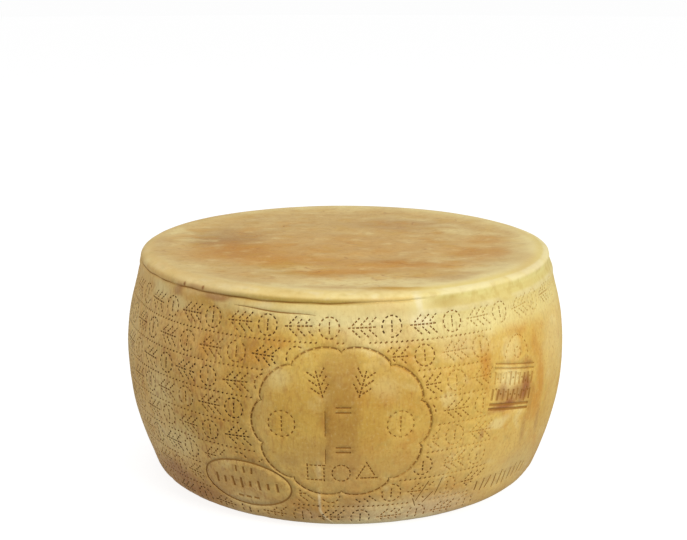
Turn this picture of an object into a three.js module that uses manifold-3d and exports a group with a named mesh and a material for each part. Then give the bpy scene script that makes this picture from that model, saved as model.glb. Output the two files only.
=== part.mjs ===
// A whole wheel of aged hard cheese, with its rind, standing on its base.
// Millimetres, +Z up, the origin at the middle of the base. The front, with the large medallion, faces -Y.
// The wheel is one solid: a barrel pressed in a mould, with the mould's marks sunk in its side.

import * as THREE from "three";
import { mergeVertices } from "three/addons/utils/BufferGeometryUtils.js";
import Module from "manifold-3d";

const wasm = await Module();
wasm.setup();

// The barrel's driving sizes.
const HEIGHT = 214;
const BULGE_RADIUS = 210;
const BULGE_HEIGHT = 122;
const DROP_TO_BASE = 28; // how far the side draws in from the bulge down to the base
const DROP_TO_TOP = 23.6; // and up to the top
const FOOT_HEIGHT = 12.5; // the rounded lower edge
const FOOT_INSET = 18;
const LIP_HEIGHT = 4.7; // the rolled upper edge
const LIP_INSET = 14;
const LIP_FLARE = 6.5; // how far the lip spreads where the mould's lid pressed it
const LIP_FLARE_REACH = 19.5;

// The crease that the mould's band leaves under the lip, and the faint second one below it.
// At the right a broad soft valley takes the crease's place, with a low ridge along its lower side.
const CREASE_HEIGHT = 206;
const CREASE_DEPTH = 1.9;
const CREASE_SPREAD = 1.7;
const SECOND_CREASE_HEIGHT = 197;
const SECOND_CREASE_DEPTH = 0.8;
const VALLEY_HEIGHT = 204.5;
const VALLEY_DEPTH = 1.5;
const VALLEY_SPREAD = 4.6;
const RIDGE_HEIGHT = 195.6;
const RIDGE_RISE = 0.7;
const RIDGE_SPREAD = 1.6;

// The top face sinks a little towards its middle, in slow rings.
const DISH_DEPTH = 2.6;
const DISH_RADIUS = 181;
const RING_DEPTH = 0.35;
const RING_PITCH = 47;

// The marks pressed in the side, each given by its place round the wheel and its height.
const DEGREE = Math.PI / 180;
const MEDALLION = { turn: -1 * DEGREE, height: 105.5, radius: 69, groove: 3.6, depth: 1.3 };
const MEDALLION_LOBES = { count: 10, depth: 6 };
const MEDALLION_STRETCH = new THREE.Vector2(1.06, 0.93); // it is a little wider than it is tall
const PLATE = { turn: -25.6 * DEGREE, height: 42, width: 90, tall: 45, groove: 2.2, depth: 1.1 };
const STAMP = { turn: 43.9 * DEGREE, height: 120, width: 55, depth: 1.1, tilt: -11.5 * DEGREE };
const STAMP_RAILS = [-19.8, -15.6, 16, 20]; // the middles of its rails, from the stamp's own middle
const STAMP_RAIL_TALL = 1.8;
const STAMP_BARS = { rows: [-7, 7.4], tall: 11, count: 9, width: 2.8 }; // two rows of upright bars
const SEAM = { turn: -4.6 * DEGREE, low: 14, high: 203, width: 1.6, depth: 0.8 };
const TALLY = { turn: 46.1 * DEGREE, height: 29.5, strokes: 10, pitch: 8.2 };
const STROKE = { tall: 13, width: 1.8, depth: 0.9, lean: 0.25 };

const TURN_STEPS = 96; // facets round the wheel
const CLEAR = 3; // how far a cutter stands out of the surface

const rind = new THREE.MeshStandardMaterial({ color: 0xd2ad68, roughness: 0.55, metalness: 0 });

// The barrel's radius at a height, as if it were perfectly round.
function barrelRadius(z) {
  const below = z < BULGE_HEIGHT;
  const reach = below ? BULGE_HEIGHT : HEIGHT - BULGE_HEIGHT;
  const drop = below ? DROP_TO_BASE : DROP_TO_TOP;
  let radius = BULGE_RADIUS - drop * ((z - BULGE_HEIGHT) / reach) ** 2;
  radius += LIP_FLARE * Math.exp(-(((HEIGHT - z) / LIP_FLARE_REACH) ** 2));
  radius -= roundedInset((FOOT_HEIGHT - z) / FOOT_HEIGHT, FOOT_INSET);
  return radius - roundedInset((z - HEIGHT + LIP_HEIGHT) / LIP_HEIGHT, LIP_INSET);
}

// A quarter ellipse's inset, from none at share 0 to the whole at share 1.
function roundedInset(share, inset) {
  const s = THREE.MathUtils.clamp(share, 0, 1);
  return inset * (1 - Math.sqrt(1 - s * s));
}

function bell(distance, spread) {
  return Math.exp(-((distance / spread) ** 2));
}

// The slow unevenness that ageing and turning leave in the side.
function swelling(turn, z) {
  const round = 0.7 * Math.cos(2 * turn - 1.2) + 0.45 * Math.cos(3 * turn + 0.7);
  const slow = 0.35 * Math.sin(5 * turn + z / 38) + 0.25 * Math.sin(8 * turn - z / 27 + 2);
  return (round + slow) * THREE.MathUtils.smoothstep(z, 0, 2 * FOOT_HEIGHT);
}

// 1 at the right, where the valley is, and 0 elsewhere.
function softened(turn) {
  const step = (low, high) => THREE.MathUtils.smoothstep(turn, low * DEGREE, high * DEGREE);
  return step(16, 21) * (1 - step(96, 112));
}

// The creases. Each wanders up and down, and fades in and out round the wheel.
function creases(turn, z) {
  const small = 0.22 * Math.sin(23 * turn) + 0.16 * Math.sin(41 * turn + 1);
  const wander = 0.8 * Math.sin(2 * turn + 0.4) + 0.4 * Math.sin(7 * turn) + small;
  const first = 0.82 + 0.18 * Math.sin(2 * turn + 2.4);
  const second = 0.5 + 0.5 * Math.sin(3 * turn - 0.9);
  const crisp =
    CREASE_DEPTH * first * bell(z - CREASE_HEIGHT - wander, CREASE_SPREAD) +
    SECOND_CREASE_DEPTH * second * bell(z - SECOND_CREASE_HEIGHT + wander, 1.4 * CREASE_SPREAD);
  return THREE.MathUtils.lerp(crisp, softValley(turn, z), softened(turn));
}

function softValley(turn, z) {
  const ridge = RIDGE_HEIGHT + 0.6 * Math.sin(4 * turn) + 0.3 * Math.sin(11 * turn);
  return VALLEY_DEPTH * bell(z - VALLEY_HEIGHT, VALLEY_SPREAD) - RIDGE_RISE * bell(z - ridge, RIDGE_SPREAD);
}

function sideRadius(turn, z) {
  return barrelRadius(z) + swelling(turn, z) - creases(turn, z);
}

// How far the top face lies below the lip at a distance from its middle.
function topDip(radius, turn) {
  const share = Math.min(radius / DISH_RADIUS, 1);
  const rings = RING_DEPTH * Math.sin((2 * Math.PI * radius) / RING_PITCH + Math.sin(3 * turn));
  return (DISH_DEPTH * (1 - share ** 6) + rings * (1 - share ** 8)) * (1 - share ** 24);
}

// Heights down the meridian: close together at the foot, the creases and the lip.
function meridian() {
  const points = [new THREE.Vector2(0, 0)];
  const quarter = Math.PI / 2;
  for (let i = 0; i < 5; i++) addSidePoint(points, FOOT_HEIGHT * (1 - Math.cos((quarter * i) / 5)));
  const sideSteps = 13;
  const sideTop = SECOND_CREASE_HEIGHT - 3;
  for (let i = 0; i <= sideSteps; i++) {
    addSidePoint(points, FOOT_HEIGHT + ((sideTop - FOOT_HEIGHT) * i) / sideSteps);
  }
  for (const z of [RIDGE_HEIGHT, SECOND_CREASE_HEIGHT, SECOND_CREASE_HEIGHT + 3]) addSidePoint(points, z);
  addSidePoint(points, CREASE_HEIGHT - 2.5);
  for (const z of [CREASE_HEIGHT, CREASE_HEIGHT + 2]) addSidePoint(points, z);
  for (let i = 0; i < 5; i++) addSidePoint(points, HEIGHT - LIP_HEIGHT * (1 - Math.sin((quarter * i) / 5)));
  const lipRadius = barrelRadius(HEIGHT);
  for (let i = 0; i < 7; i++) points.push(new THREE.Vector2(lipRadius * (1 - i / 7), HEIGHT));
  points.push(new THREE.Vector2(0, HEIGHT));
  return points;
}

function addSidePoint(points, z) {
  points.push(new THREE.Vector2(barrelRadius(z), z));
}

// The barrel as a turned form, whose points are then moved to the uneven surface.
function barrelGeometry() {
  const turned = closed(new THREE.LatheGeometry(meridian(), TURN_STEPS).rotateX(Math.PI / 2));
  const place = turned.attributes.position;
  const lipRadius = barrelRadius(HEIGHT);
  for (let i = 0; i < place.count; i++) {
    const [x, y, z] = [place.getX(i), place.getY(i), place.getZ(i)];
    const radius = Math.hypot(x, y);
    const turn = Math.atan2(x, -y);
    const onTop = z > HEIGHT - 0.001 && radius < lipRadius + 0.001;
    const onBase = z < 0.001 && radius < 0.001;
    if (onBase) continue;
    const edge = onTop ? (sideRadius(turn, HEIGHT) / lipRadius) * radius : sideRadius(turn, z);
    const height = onTop ? HEIGHT - topDip(radius, turn) : z;
    place.setXYZ(i, edge * Math.sin(turn), -edge * Math.cos(turn), height);
  }
  return turned;
}

// Only positions, with the seam's doubled vertices made one.
function closed(geometry) {
  const bare = geometry.index ? geometry.toNonIndexed() : geometry;
  return mergeVertices(new THREE.BufferGeometry().setAttribute("position", bare.attributes.position), 1e-4);
}

function solid(geometry) {
  const merged = closed(geometry);
  return new wasm.Manifold(
    new wasm.Mesh({
      numProp: 3,
      vertProperties: merged.attributes.position.array,
      triVerts: new Uint32Array(merged.index.array),
    }),
  );
}

function geometryOf(manifold) {
  const mesh = manifold.getMesh();
  const places = new THREE.BufferAttribute(Float32Array.from(mesh.vertProperties), 3);
  const geometry = new THREE.BufferGeometry().setAttribute("position", places);
  geometry.setIndex(new THREE.BufferAttribute(Uint32Array.from(mesh.triVerts), 1));
  geometry.computeVertexNormals();
  return geometry;
}

// Lays a flat cutter on the side: its x runs round the wheel, its y up, and its z out of the surface.
function layOnSide(geometry, turn, height) {
  const place = geometry.attributes.position;
  for (let i = 0; i < place.count; i++) {
    const around = turn + place.getX(i) / BULGE_RADIUS;
    const z = height + place.getY(i);
    const out = barrelRadius(z) + swelling(around, z) + place.getZ(i);
    place.setXYZ(i, out * Math.sin(around), -out * Math.cos(around), z);
  }
  return geometry;
}

// A bar cut to a depth, in steps short enough to follow the barrel.
function bar(width, tall, depth, x, y, lean = 0) {
  const acrossSteps = Math.max(1, Math.round(width / 12));
  const upSteps = Math.max(1, Math.round(tall / 16));
  const box = new THREE.BoxGeometry(width, tall, depth + CLEAR, acrossSteps, upSteps, 1);
  const skew = new THREE.Matrix4().makeShear(0, 0, lean, 0, 0, 0);
  return box.applyMatrix4(skew).translate(x, y, (CLEAR - depth) / 2);
}

// A groove that follows a closed outline, from two copies of it a groove's width apart.
function outlineGroove(outline, steps, width, depth) {
  const ring = (offset) => {
    const points = [];
    for (let i = 0; i < steps; i++) points.push(outline(i / steps, offset));
    return points;
  };
  const shape = new THREE.Shape(ring(width / 2));
  shape.holes.push(new THREE.Path(ring(-width / 2)));
  const cutter = new THREE.ExtrudeGeometry(shape, { depth: depth + CLEAR, bevelEnabled: false });
  return cutter.translate(0, 0, -depth);
}

// The medallion's scalloped outline.
function scallops(share, offset) {
  const angle = share * 2 * Math.PI;
  const lobe = Math.abs(Math.cos((MEDALLION_LOBES.count / 2) * angle));
  const radius = MEDALLION.radius + MEDALLION_LOBES.depth * (Math.sqrt(lobe) - 0.4) + offset;
  return new THREE.Vector2(radius * Math.cos(angle), radius * Math.sin(angle)).multiply(MEDALLION_STRETCH);
}

// The plate's outline, an oval.
function plateOutline(share, offset) {
  const angle = share * 2 * Math.PI;
  const across = PLATE.width / 2 + offset;
  const up = PLATE.tall / 2 + offset;
  return new THREE.Vector2(across * Math.cos(angle), up * Math.sin(angle));
}

function medallionCutters() {
  const groove = outlineGroove(scallops, 100, MEDALLION.groove, MEDALLION.depth);
  return [layOnSide(groove, MEDALLION.turn, MEDALLION.height)];
}

function plateCutters() {
  const groove = outlineGroove(plateOutline, 44, PLATE.groove, PLATE.depth);
  return [layOnSide(groove, PLATE.turn, PLATE.height)];
}

// The stamp: two rails above and below two rows of upright bars. It was set a little askew.
function stampCutters() {
  const cutters = STAMP_RAILS.map((y) => bar(STAMP.width, STAMP_RAIL_TALL, STAMP.depth, 0, y));
  for (const y of STAMP_BARS.rows) {
    for (let i = 0; i < STAMP_BARS.count; i++) {
      const x = (STAMP.width - STAMP_BARS.width) * (i / (STAMP_BARS.count - 1) - 0.5);
      cutters.push(bar(STAMP_BARS.width, STAMP_BARS.tall, STAMP.depth, x, y));
    }
  }
  return cutters.map((cutter) => layOnSide(cutter.rotateZ(STAMP.tilt), STAMP.turn, STAMP.height));
}

function seamCutters() {
  const tall = SEAM.high - SEAM.low;
  const seam = bar(SEAM.width, tall, SEAM.depth, 0, 0);
  return [layOnSide(seam, SEAM.turn, (SEAM.high + SEAM.low) / 2)];
}

// The row of leaning strokes that tallies the batch.
function tallyCutters() {
  const cutters = [];
  for (let i = 0; i < TALLY.strokes; i++) {
    const x = TALLY.pitch * (i - (TALLY.strokes - 1) / 2);
    const stroke = bar(STROKE.width, STROKE.tall, STROKE.depth, x, 0, STROKE.lean);
    cutters.push(layOnSide(stroke, TALLY.turn, TALLY.height));
  }
  return cutters;
}

function wheel() {
  const cutters = [
    ...medallionCutters(),
    ...plateCutters(),
    ...stampCutters(),
    ...seamCutters(),
    ...tallyCutters(),
  ];
  let body = solid(barrelGeometry());
  for (const cutter of cutters) body = body.subtract(solid(cutter));
  const mesh = new THREE.Mesh(geometryOf(body), rind);
  mesh.name = "wheel";
  return mesh;
}

// Sets the wheel down with the middle of its outline on the origin.
function centred(mesh) {
  mesh.geometry.computeBoundingBox();
  const middle = mesh.geometry.boundingBox.getCenter(new THREE.Vector3());
  mesh.geometry.translate(-middle.x, -middle.y, 0);
  return mesh;
}

const part = new THREE.Group();
part.add(centred(wheel()));

export default part;
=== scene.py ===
"""A whole wheel of aged hard cheese with an oiled straw-yellow rind, on a pale studio floor."""

import math

import bmesh
import bpy
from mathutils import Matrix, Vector, kdtree, noise
from mathutils.geometry import delaunay_2d_cdt


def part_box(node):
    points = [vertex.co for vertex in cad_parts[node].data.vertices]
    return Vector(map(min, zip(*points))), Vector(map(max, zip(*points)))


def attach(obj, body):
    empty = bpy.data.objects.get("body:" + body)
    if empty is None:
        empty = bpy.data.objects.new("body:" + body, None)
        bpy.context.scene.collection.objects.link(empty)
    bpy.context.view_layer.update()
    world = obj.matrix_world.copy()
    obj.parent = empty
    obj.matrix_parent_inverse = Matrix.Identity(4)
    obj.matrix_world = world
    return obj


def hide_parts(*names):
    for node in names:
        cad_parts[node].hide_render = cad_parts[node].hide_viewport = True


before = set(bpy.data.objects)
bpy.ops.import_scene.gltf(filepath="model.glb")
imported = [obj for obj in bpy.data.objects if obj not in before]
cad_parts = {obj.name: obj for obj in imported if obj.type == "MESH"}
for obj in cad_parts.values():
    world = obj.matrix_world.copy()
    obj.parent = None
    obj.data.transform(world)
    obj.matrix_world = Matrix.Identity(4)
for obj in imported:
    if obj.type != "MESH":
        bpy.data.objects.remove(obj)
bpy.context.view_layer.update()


# The camera stands a step away and a little above the wheel, and looks down on its top.
# Its lens, height and tilt are the photograph's.

PICTURE_WIDTH = 687  # pixels
FOCAL_PIXELS = 1293.3
SENSOR = 36.0  # millimetres
CAMERA_PLACE = (-0.00145, -1.213, 0.4864)
CAMERA_TILT = math.radians(13.89)

camera_data = bpy.data.cameras.new("camera")
camera_data.sensor_width = SENSOR
camera_data.lens = FOCAL_PIXELS / PICTURE_WIDTH * SENSOR
camera = bpy.data.objects.new("camera", camera_data)
camera.location = CAMERA_PLACE
camera.rotation_euler = (math.pi / 2 - CAMERA_TILT, 0, 0)
bpy.context.collection.objects.link(camera)
bpy.context.scene.camera = camera


# The studio: a white floor that runs out of sight, and soft lamps round the wheel.
# The main lamp stands high in front to the right, so the wheel's left side is the darker one.

FLOOR_RADIUS = 9.0
FLOOR_GAP = 0.0003  # the floor lies just under the base
FLOOR_WHITE, FLOOR_ROUGHNESS = 0.3, 0.9
FLOOR_GLOW = 0.84
BACKDROP_GLOW = 0.985
ROOM_LIGHT = 0.43
LAMPS_AIM = Vector((0, 0, 0.1))  # the wheel's middle


def lamp(name, place, size, power, warmth=(1.0, 1.0, 1.0)):
    data = bpy.data.lights.new(name, "AREA")
    data.shape = "DISK"
    data.size, data.energy, data.color = size, power, warmth
    made = bpy.data.objects.new(name, data)
    made.location = place
    made.rotation_euler = (LAMPS_AIM - Vector(place)).to_track_quat("-Z", "Y").to_euler()
    bpy.context.collection.objects.link(made)


lamp("main_lamp", (1.75, -1.75, 1.35), 1.5, 52, (1.0, 0.98, 0.94))
lamp("top_lamp", (-0.3, 0.3, 2.2), 1.6, 11)
lamp("left_lamp", (-2.2, -1.0, 0.9), 1.4, 10.5, (1.0, 0.97, 0.93))

floor_mesh = bmesh.new()
bmesh.ops.create_circle(floor_mesh, cap_ends=True, segments=96, radius=FLOOR_RADIUS)
bmesh.ops.translate(floor_mesh, verts=floor_mesh.verts, vec=(0, 0, -FLOOR_GAP))
floor = bpy.data.objects.new("floor", bpy.data.meshes.new("floor"))
floor_mesh.to_mesh(floor.data)
floor_mesh.free()
bpy.context.collection.objects.link(floor)

floor_paint = bpy.data.materials.new("floor_paint")
floor_paint.use_nodes = True
floor_shader = floor_paint.node_tree.nodes["Principled BSDF"]
floor_shader.inputs["Base Color"].default_value = (FLOOR_WHITE, FLOOR_WHITE, FLOOR_WHITE, 1)
floor_shader.inputs["Roughness"].default_value = FLOOR_ROUGHNESS
floor_shader.inputs["Emission Color"].default_value = (1, 1, 1, 1)
floor_shader.inputs["Emission Strength"].default_value = FLOOR_GLOW
floor.data.materials.append(floor_paint)
floor.visible_diffuse = floor.visible_glossy = False  # so its glow doesn't light the wheel from below

world = bpy.data.worlds.new("studio")
world.use_nodes = True
bpy.context.scene.world = world
sky = world.node_tree
seen_by = sky.nodes.new("ShaderNodeLightPath")
strength = sky.nodes.new("ShaderNodeMapRange")
strength.inputs["To Min"].default_value = ROOM_LIGHT
strength.inputs["To Max"].default_value = BACKDROP_GLOW
sky.links.new(seen_by.outputs["Is Camera Ray"], strength.inputs["Value"])
sky.links.new(strength.outputs["Result"], sky.nodes["Background"].inputs["Strength"])
sky.nodes["Background"].inputs["Color"].default_value = (1, 1, 1, 1)
bpy.context.scene.view_settings.view_transform = "Standard"


# The form of the wheel: a barrel that bulges at mid-height, with a rounded foot and a rolled lip.
# The paste was pressed in a round mould and has sagged since, so no two stretches of the side are alike.
# The wheel is modelled in millimetres, and the finished mesh is scaled to metres.

MILLIMETRE = 0.001
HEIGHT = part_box("wheel")[1].z / MILLIMETRE
BULGE_RADIUS, BULGE_HEIGHT = 210, 122
DROP_TO_BASE, DROP_TO_TOP = 28, 23.6
FOOT_HEIGHT, FOOT_INSET = 12.5, 18
LIP_HEIGHT, LIP_INSET = 4.7, 14
LIP_FLARE, LIP_FLARE_REACH = 6.5, 19.5
CREASE_HEIGHT, CREASE_DEPTH = 206, 1.9
SECOND_CREASE_HEIGHT, SECOND_CREASE_DEPTH = 197, 0.8
VALLEY_HEIGHT, VALLEY_DEPTH, VALLEY_SPREAD = 204.5, 1.5, 4.6
RIDGE_LINE_HEIGHT, RIDGE_LINE_RISE, RIDGE_LINE_SPREAD = 195.6, 0.7, 1.6
DISH_DEPTH, DISH_RADIUS = 2.6, 181
RING_DEPTH, RING_PITCH = 0.35, 47
LUMPS = ((0.5, 37), (0.22, 15))  # how deep each kind of unevenness is, and how wide
CHIP_DEPTH, CHIP_WIDTH, CHIP_REACH = 1.6, 7, 24  # the rough foot


def rounded_inset(share, inset):
    """A quarter ellipse's inset, from none at share 0 to the whole at share 1."""
    share = min(max(share, 0), 1)
    return inset * (1 - math.sqrt(1 - share * share))


def bell(distance, spread):
    return math.exp(-((distance / spread) ** 2))


def smooth_step(value, low, high):
    share = min(max((value - low) / (high - low), 0), 1)
    return share * share * (3 - 2 * share)


def barrel_radius(z):
    below = z < BULGE_HEIGHT
    reach = BULGE_HEIGHT if below else HEIGHT - BULGE_HEIGHT
    drop = DROP_TO_BASE if below else DROP_TO_TOP
    radius = BULGE_RADIUS - drop * ((z - BULGE_HEIGHT) / reach) ** 2
    radius += LIP_FLARE * bell(HEIGHT - z, LIP_FLARE_REACH)
    radius -= rounded_inset((FOOT_HEIGHT - z) / FOOT_HEIGHT, FOOT_INSET)
    return radius - rounded_inset((z - HEIGHT + LIP_HEIGHT) / LIP_HEIGHT, LIP_INSET)


def on_barrel(turn, z):
    """A point on the plain barrel, from which the unevenness is drawn."""
    return Vector((BULGE_RADIUS * math.sin(turn), -BULGE_RADIUS * math.cos(turn), z))


def swelling(turn, z):
    """The slow unevenness of the side, and the small dents and lumps on it."""
    slow = 0.7 * math.cos(2 * turn - 1.2) + 0.45 * math.cos(3 * turn + 0.7)
    slow += 0.35 * math.sin(5 * turn + z / 38) + 0.25 * math.sin(8 * turn - z / 27 + 2)
    small = sum(depth * noise.noise(on_barrel(turn, z) / width) for depth, width in LUMPS)
    return (slow + small) * smooth_step(z, 0, 2 * FOOT_HEIGHT)


def chips(turn, z):
    """How far the rough foot is worn in. The front left is the most worn."""
    worn = 0.35 + 0.65 * bell(turn + 0.75, 0.5)
    bite = max(noise.noise(on_barrel(turn, z) / CHIP_WIDTH) - 0.05, 0)
    return CHIP_DEPTH * worn * bite * bell(z - 0.3 * CHIP_REACH, 0.5 * CHIP_REACH)


def crease_wander(turn):
    small = 0.22 * math.sin(23 * turn) + 0.16 * math.sin(41 * turn + 1)
    return 0.8 * math.sin(2 * turn + 0.4) + 0.4 * math.sin(7 * turn) + small


def softened(turn):
    """1 at the right, where a broad soft valley takes the crease's place, and 0 elsewhere."""
    degrees = math.degrees(turn)
    return smooth_step(degrees, 16, 21) * (1 - smooth_step(degrees, 96, 112))


def first_crease(turn, z):
    """The crease under the lip, from 0 beside it to 1 in its bed: steep above, gentle below."""
    off = z - CREASE_HEIGHT - crease_wander(turn)
    share = (0.82 + 0.18 * math.sin(2 * turn + 2.4)) * (1 - softened(turn))
    return share * (bell(off, 0.9) if off > 0 else 0.6 * bell(off, 0.7) + 0.4 * bell(off, 3.2))


def ridge_line(turn):
    return RIDGE_LINE_HEIGHT + 0.6 * math.sin(4 * turn) + 0.3 * math.sin(11 * turn)


def soft_valley(turn, z):
    """How deep the valley at the right goes, less the narrow ridge at its lower side."""
    dip = VALLEY_DEPTH * bell(z - VALLEY_HEIGHT, VALLEY_SPREAD)
    return softened(turn) * (dip - RIDGE_LINE_RISE * bell(z - ridge_line(turn), RIDGE_LINE_SPREAD))


def second_crease(turn, z):
    share = 0.5 + 0.5 * math.sin(3 * turn - 0.9)
    return share * bell(z - SECOND_CREASE_HEIGHT + crease_wander(turn), 2.4)


def side_radius(turn, z):
    creased = CREASE_DEPTH * first_crease(turn, z) + soft_valley(turn, z)
    creased += SECOND_CREASE_DEPTH * second_crease(turn, z) * (1 - softened(turn))
    return barrel_radius(z) + swelling(turn, z) - creased - chips(turn, z)


def top_dip(radius, turn):
    """How far the top face lies below the lip at a distance from its middle."""
    share = min(radius / DISH_RADIUS, 1)
    rings = RING_DEPTH * math.sin(2 * math.pi * radius / RING_PITCH + math.sin(3 * turn))
    place = Vector((radius * math.sin(turn), -radius * math.cos(turn), 0))
    small = sum(depth * noise.noise(place / width) for depth, width in LUMPS)
    return (DISH_DEPTH * (1 - share**6) + (rings + small) * (1 - share**8)) * (1 - share**24)


# The marks are pressed in the side by the mould and by stamping tools before the rind hardens.
# They are drawn flat: x runs round the wheel from the front, y up, and the sheet is rolled up later.
# Each mark is made of small pits, and a pit is kept with its wall, its depth and how dark it has gone.

PIN_LENGTH, PIN_WIDTH, PIN_WALL, PIN_DEPTH = 2.6, 1.3, 0.36, 0.75
BEND_STEP = 6  # a longer mark has an outline point at each of these, to bend with the barrel

pits = []


def from_front(degrees, height):
    return Vector((math.radians(degrees) * BULGE_RADIUS, height))


def heading(degrees):
    return Vector((math.cos(math.radians(degrees)), math.sin(math.radians(degrees))))


def wobble(seed, reach):
    """An unevenness within about a half of that reach, the same each time for the same seed."""
    return reach * noise.noise(Vector((seed * 1.37, seed * 0.61, 3.3)))


def press(outline, wall, depth, tone):
    pits.append((outline, wall, depth, tone))


def press_bar(middle, length, width, lean, wall, depth, tone):
    """Presses a straight bar that leans by some degrees from level."""
    steps = max(1, round(length / BEND_STEP))
    along, across = heading(lean), heading(lean + 90) * (width / 2)
    spine = [middle + along * (length * (i / steps - 0.5)) for i in range(steps + 1)]
    press([p - across for p in spine] + [p + across for p in reversed(spine)], wall, depth, tone)


def press_pin(middle, lean, tone, length=PIN_LENGTH):
    """A pin's dent. No two are quite as long, as wide or as dark."""
    vary = [noise.noise(Vector((middle.x, middle.y, 9 * i)) * 0.8) for i in range(3)]
    width = PIN_WIDTH * (1 + 0.3 * vary[0])
    tone = min(max(tone * (1 + 0.5 * vary[1]), 0.12), 1)
    press_bar(middle, length * (1 + 0.3 * vary[2]), width, lean, PIN_WALL, PIN_DEPTH, tone)


def press_line(start, end, tone, pitch=3.6):
    """A row of pins from one point to another."""
    count = max(2, round((end - start).length / pitch) + 1)
    lean = math.degrees(math.atan2(end.y - start.y, end.x - start.x))
    for i in range(count):
        press_pin(start.lerp(end, i / (count - 1)), lean, tone)


def press_ring(middle, radius, count, tone, first=0, last=360):
    for i in range(count):
        angle = first + (last - first) * (i + 0.5) / count
        press_pin(middle + heading(angle) * radius, angle + 90, tone)


def press_ear(middle, lean, tone, scale=1.0):
    """An ear of wheat: a stem of pins with three pairs of slanting grains."""
    along, across = heading(lean), heading(lean + 90)
    for i in range(7):
        press_pin(middle + along * (scale * 3.6 * (i - 3)), lean, tone)
    for level in range(3):
        for side in (-1, 1):
            root = middle + along * (scale * (7.2 * level - 8)) + across * (2.1 * side)
            for i in range(3):
                grain = root + heading(lean + 42 * side) * (scale * (3.4 * i + 0.8))
                press_pin(grain, lean + 42 * side, tone, 2.2)


# The medallion at the front: a scalloped groove with dark dashes along its bed.
# Plain shapes made of pins lie inside it.

MEDALLION = from_front(-1, 105.5)
MEDALLION_RADIUS, MEDALLION_LOBES, LOBE_DEPTH = 69, 10, 6
STRETCH = Vector((1.06, 0.93))  # it is a little wider than it is tall
MEDALLION_STEPS = 280
GROOVE_WIDTH, GROOVE_DEPTH, GROOVE_WALL = 2.8, 0.4, 0.75
DASH_WIDTH, DASH_DEPTH, DASH_WALL = 1.7, 0.5, 0.3
DASH_PITCH, DASH_STEPS = 4, 3  # a dash every four steps, three steps long
RIM_RISE = 0.45  # the paste that the groove pushed up stands proud beside it
EARS_OUT, EARS_UP, EARS_TURN = 18, 36, 16
RINGS_OUT, RINGS_RADIUS, RINGS_PINS, RINGS_LINE = 50, 11.5, 14, Vector((0, 5.6))
SLOT_HEIGHTS, SLOT_GAP, SLOT_LENGTH, SLOT_WIDTH = (14, -22), 4.4, 13, 1.3
SHAPES_APART, SHAPES_DOWN, SHAPE_HALF, SHAPE_TONE = 22, 44, 7.2, 0.45


def scallop_radius(angle):
    lobe = math.sqrt(abs(math.cos(MEDALLION_LOBES / 2 * angle)))
    return MEDALLION_RADIUS + LOBE_DEPTH * (lobe - 0.4)


def on_scallops(step, offset):
    angle = 2 * math.pi * step / MEDALLION_STEPS
    outward = Vector((math.cos(angle), math.sin(angle)))
    return MEDALLION + (scallop_radius(angle) + offset) * STRETCH * outward


def past_medallion(place):
    """How far a point lies outside the medallion's outline."""
    out = Vector(((place.x - MEDALLION.x) / STRETCH.x, (place.y - MEDALLION.y) / STRETCH.y))
    return out.length - scallop_radius(math.atan2(out.y, out.x))


grooves = []
for step in range(MEDALLION_STEPS):
    inner = [on_scallops(step + i, -GROOVE_WIDTH / 2) for i in (1, 0)]
    outer = [on_scallops(step + i, GROOVE_WIDTH / 2) for i in (0, 1)]
    grooves.append((outer + inner, GROOVE_WALL, GROOVE_DEPTH, 0.1))
for step in range(0, MEDALLION_STEPS, DASH_PITCH):
    inner = [on_scallops(step + i, -DASH_WIDTH / 2) for i in range(DASH_STEPS, -1, -1)]
    outer = [on_scallops(step + i, DASH_WIDTH / 2) for i in range(DASH_STEPS + 1)]
    tone = 0.36 + 0.4 * noise.noise(Vector((step / 14, 5, 0)))
    press(outer + inner, DASH_WALL, GROOVE_DEPTH + DASH_DEPTH, tone)

for side in (-1, 1):
    press_ear(MEDALLION + Vector((EARS_OUT * side, EARS_UP)), 90 - EARS_TURN * side, 0.5, 0.95)
    ring, tone = MEDALLION + Vector((RINGS_OUT * side, 0)), 0.3 - 0.08 * side
    press_ring(ring, RINGS_RADIUS, RINGS_PINS, tone)
    press_line(ring - RINGS_LINE, ring + RINGS_LINE, tone)
for height in SLOT_HEIGHTS:
    for rise in (-SLOT_GAP / 2, SLOT_GAP / 2):
        slot = MEDALLION + Vector((2, height + rise))
        press_bar(slot, SLOT_LENGTH, SLOT_WIDTH, 0, PIN_WALL, PIN_DEPTH, 0.42)

square, circle, triangle = [MEDALLION + Vector((SHAPES_APART * i, -SHAPES_DOWN)) for i in (-1, 0, 1)]
for angle in (0, 90, 180, 270):
    corner = square + SHAPE_HALF * (heading(angle) + heading(angle + 90))
    press_line(corner, corner + heading(angle - 180) * (2 * SHAPE_HALF - 3.4), SHAPE_TONE)
press_ring(circle, SHAPE_HALF + 0.6, 12, SHAPE_TONE)
for angle in (90, 210, 330):
    start = triangle + heading(angle) * (SHAPE_HALF + 2.5)
    end = triangle + heading(angle + 120) * (SHAPE_HALF + 2.5)
    press_line(start.lerp(end, 0.25), end, SHAPE_TONE)


# The plate at the lower left: a thin oval groove.
# Broad shallow bars were punched inside it, and the rind there has gone a little browner.

PLATE = from_front(-25.6, 42)
PLATE_WIDTH, PLATE_TALL = 90, 45
PLATE_GROOVE, PLATE_DEPTH, PLATE_WALL, PLATE_STEPS = 1.7, 0.8, 0.4, 76
TALL_BARS, TALL_BAR_PITCH = (10, 7, 10, 11, 6, 10, 7, 9), 9
SMALL_BARS, SMALL_BAR_WIDTH = 3, 2.2  # above the tall ones, and lying below them
BAR_DEPTH = 0.8


def on_plate(step, offset):
    angle = 2 * math.pi * step / PLATE_STEPS
    across, up = PLATE_WIDTH / 2 + offset, PLATE_TALL / 2 + offset
    return PLATE + Vector((across * math.cos(angle), up * math.sin(angle)))


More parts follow.
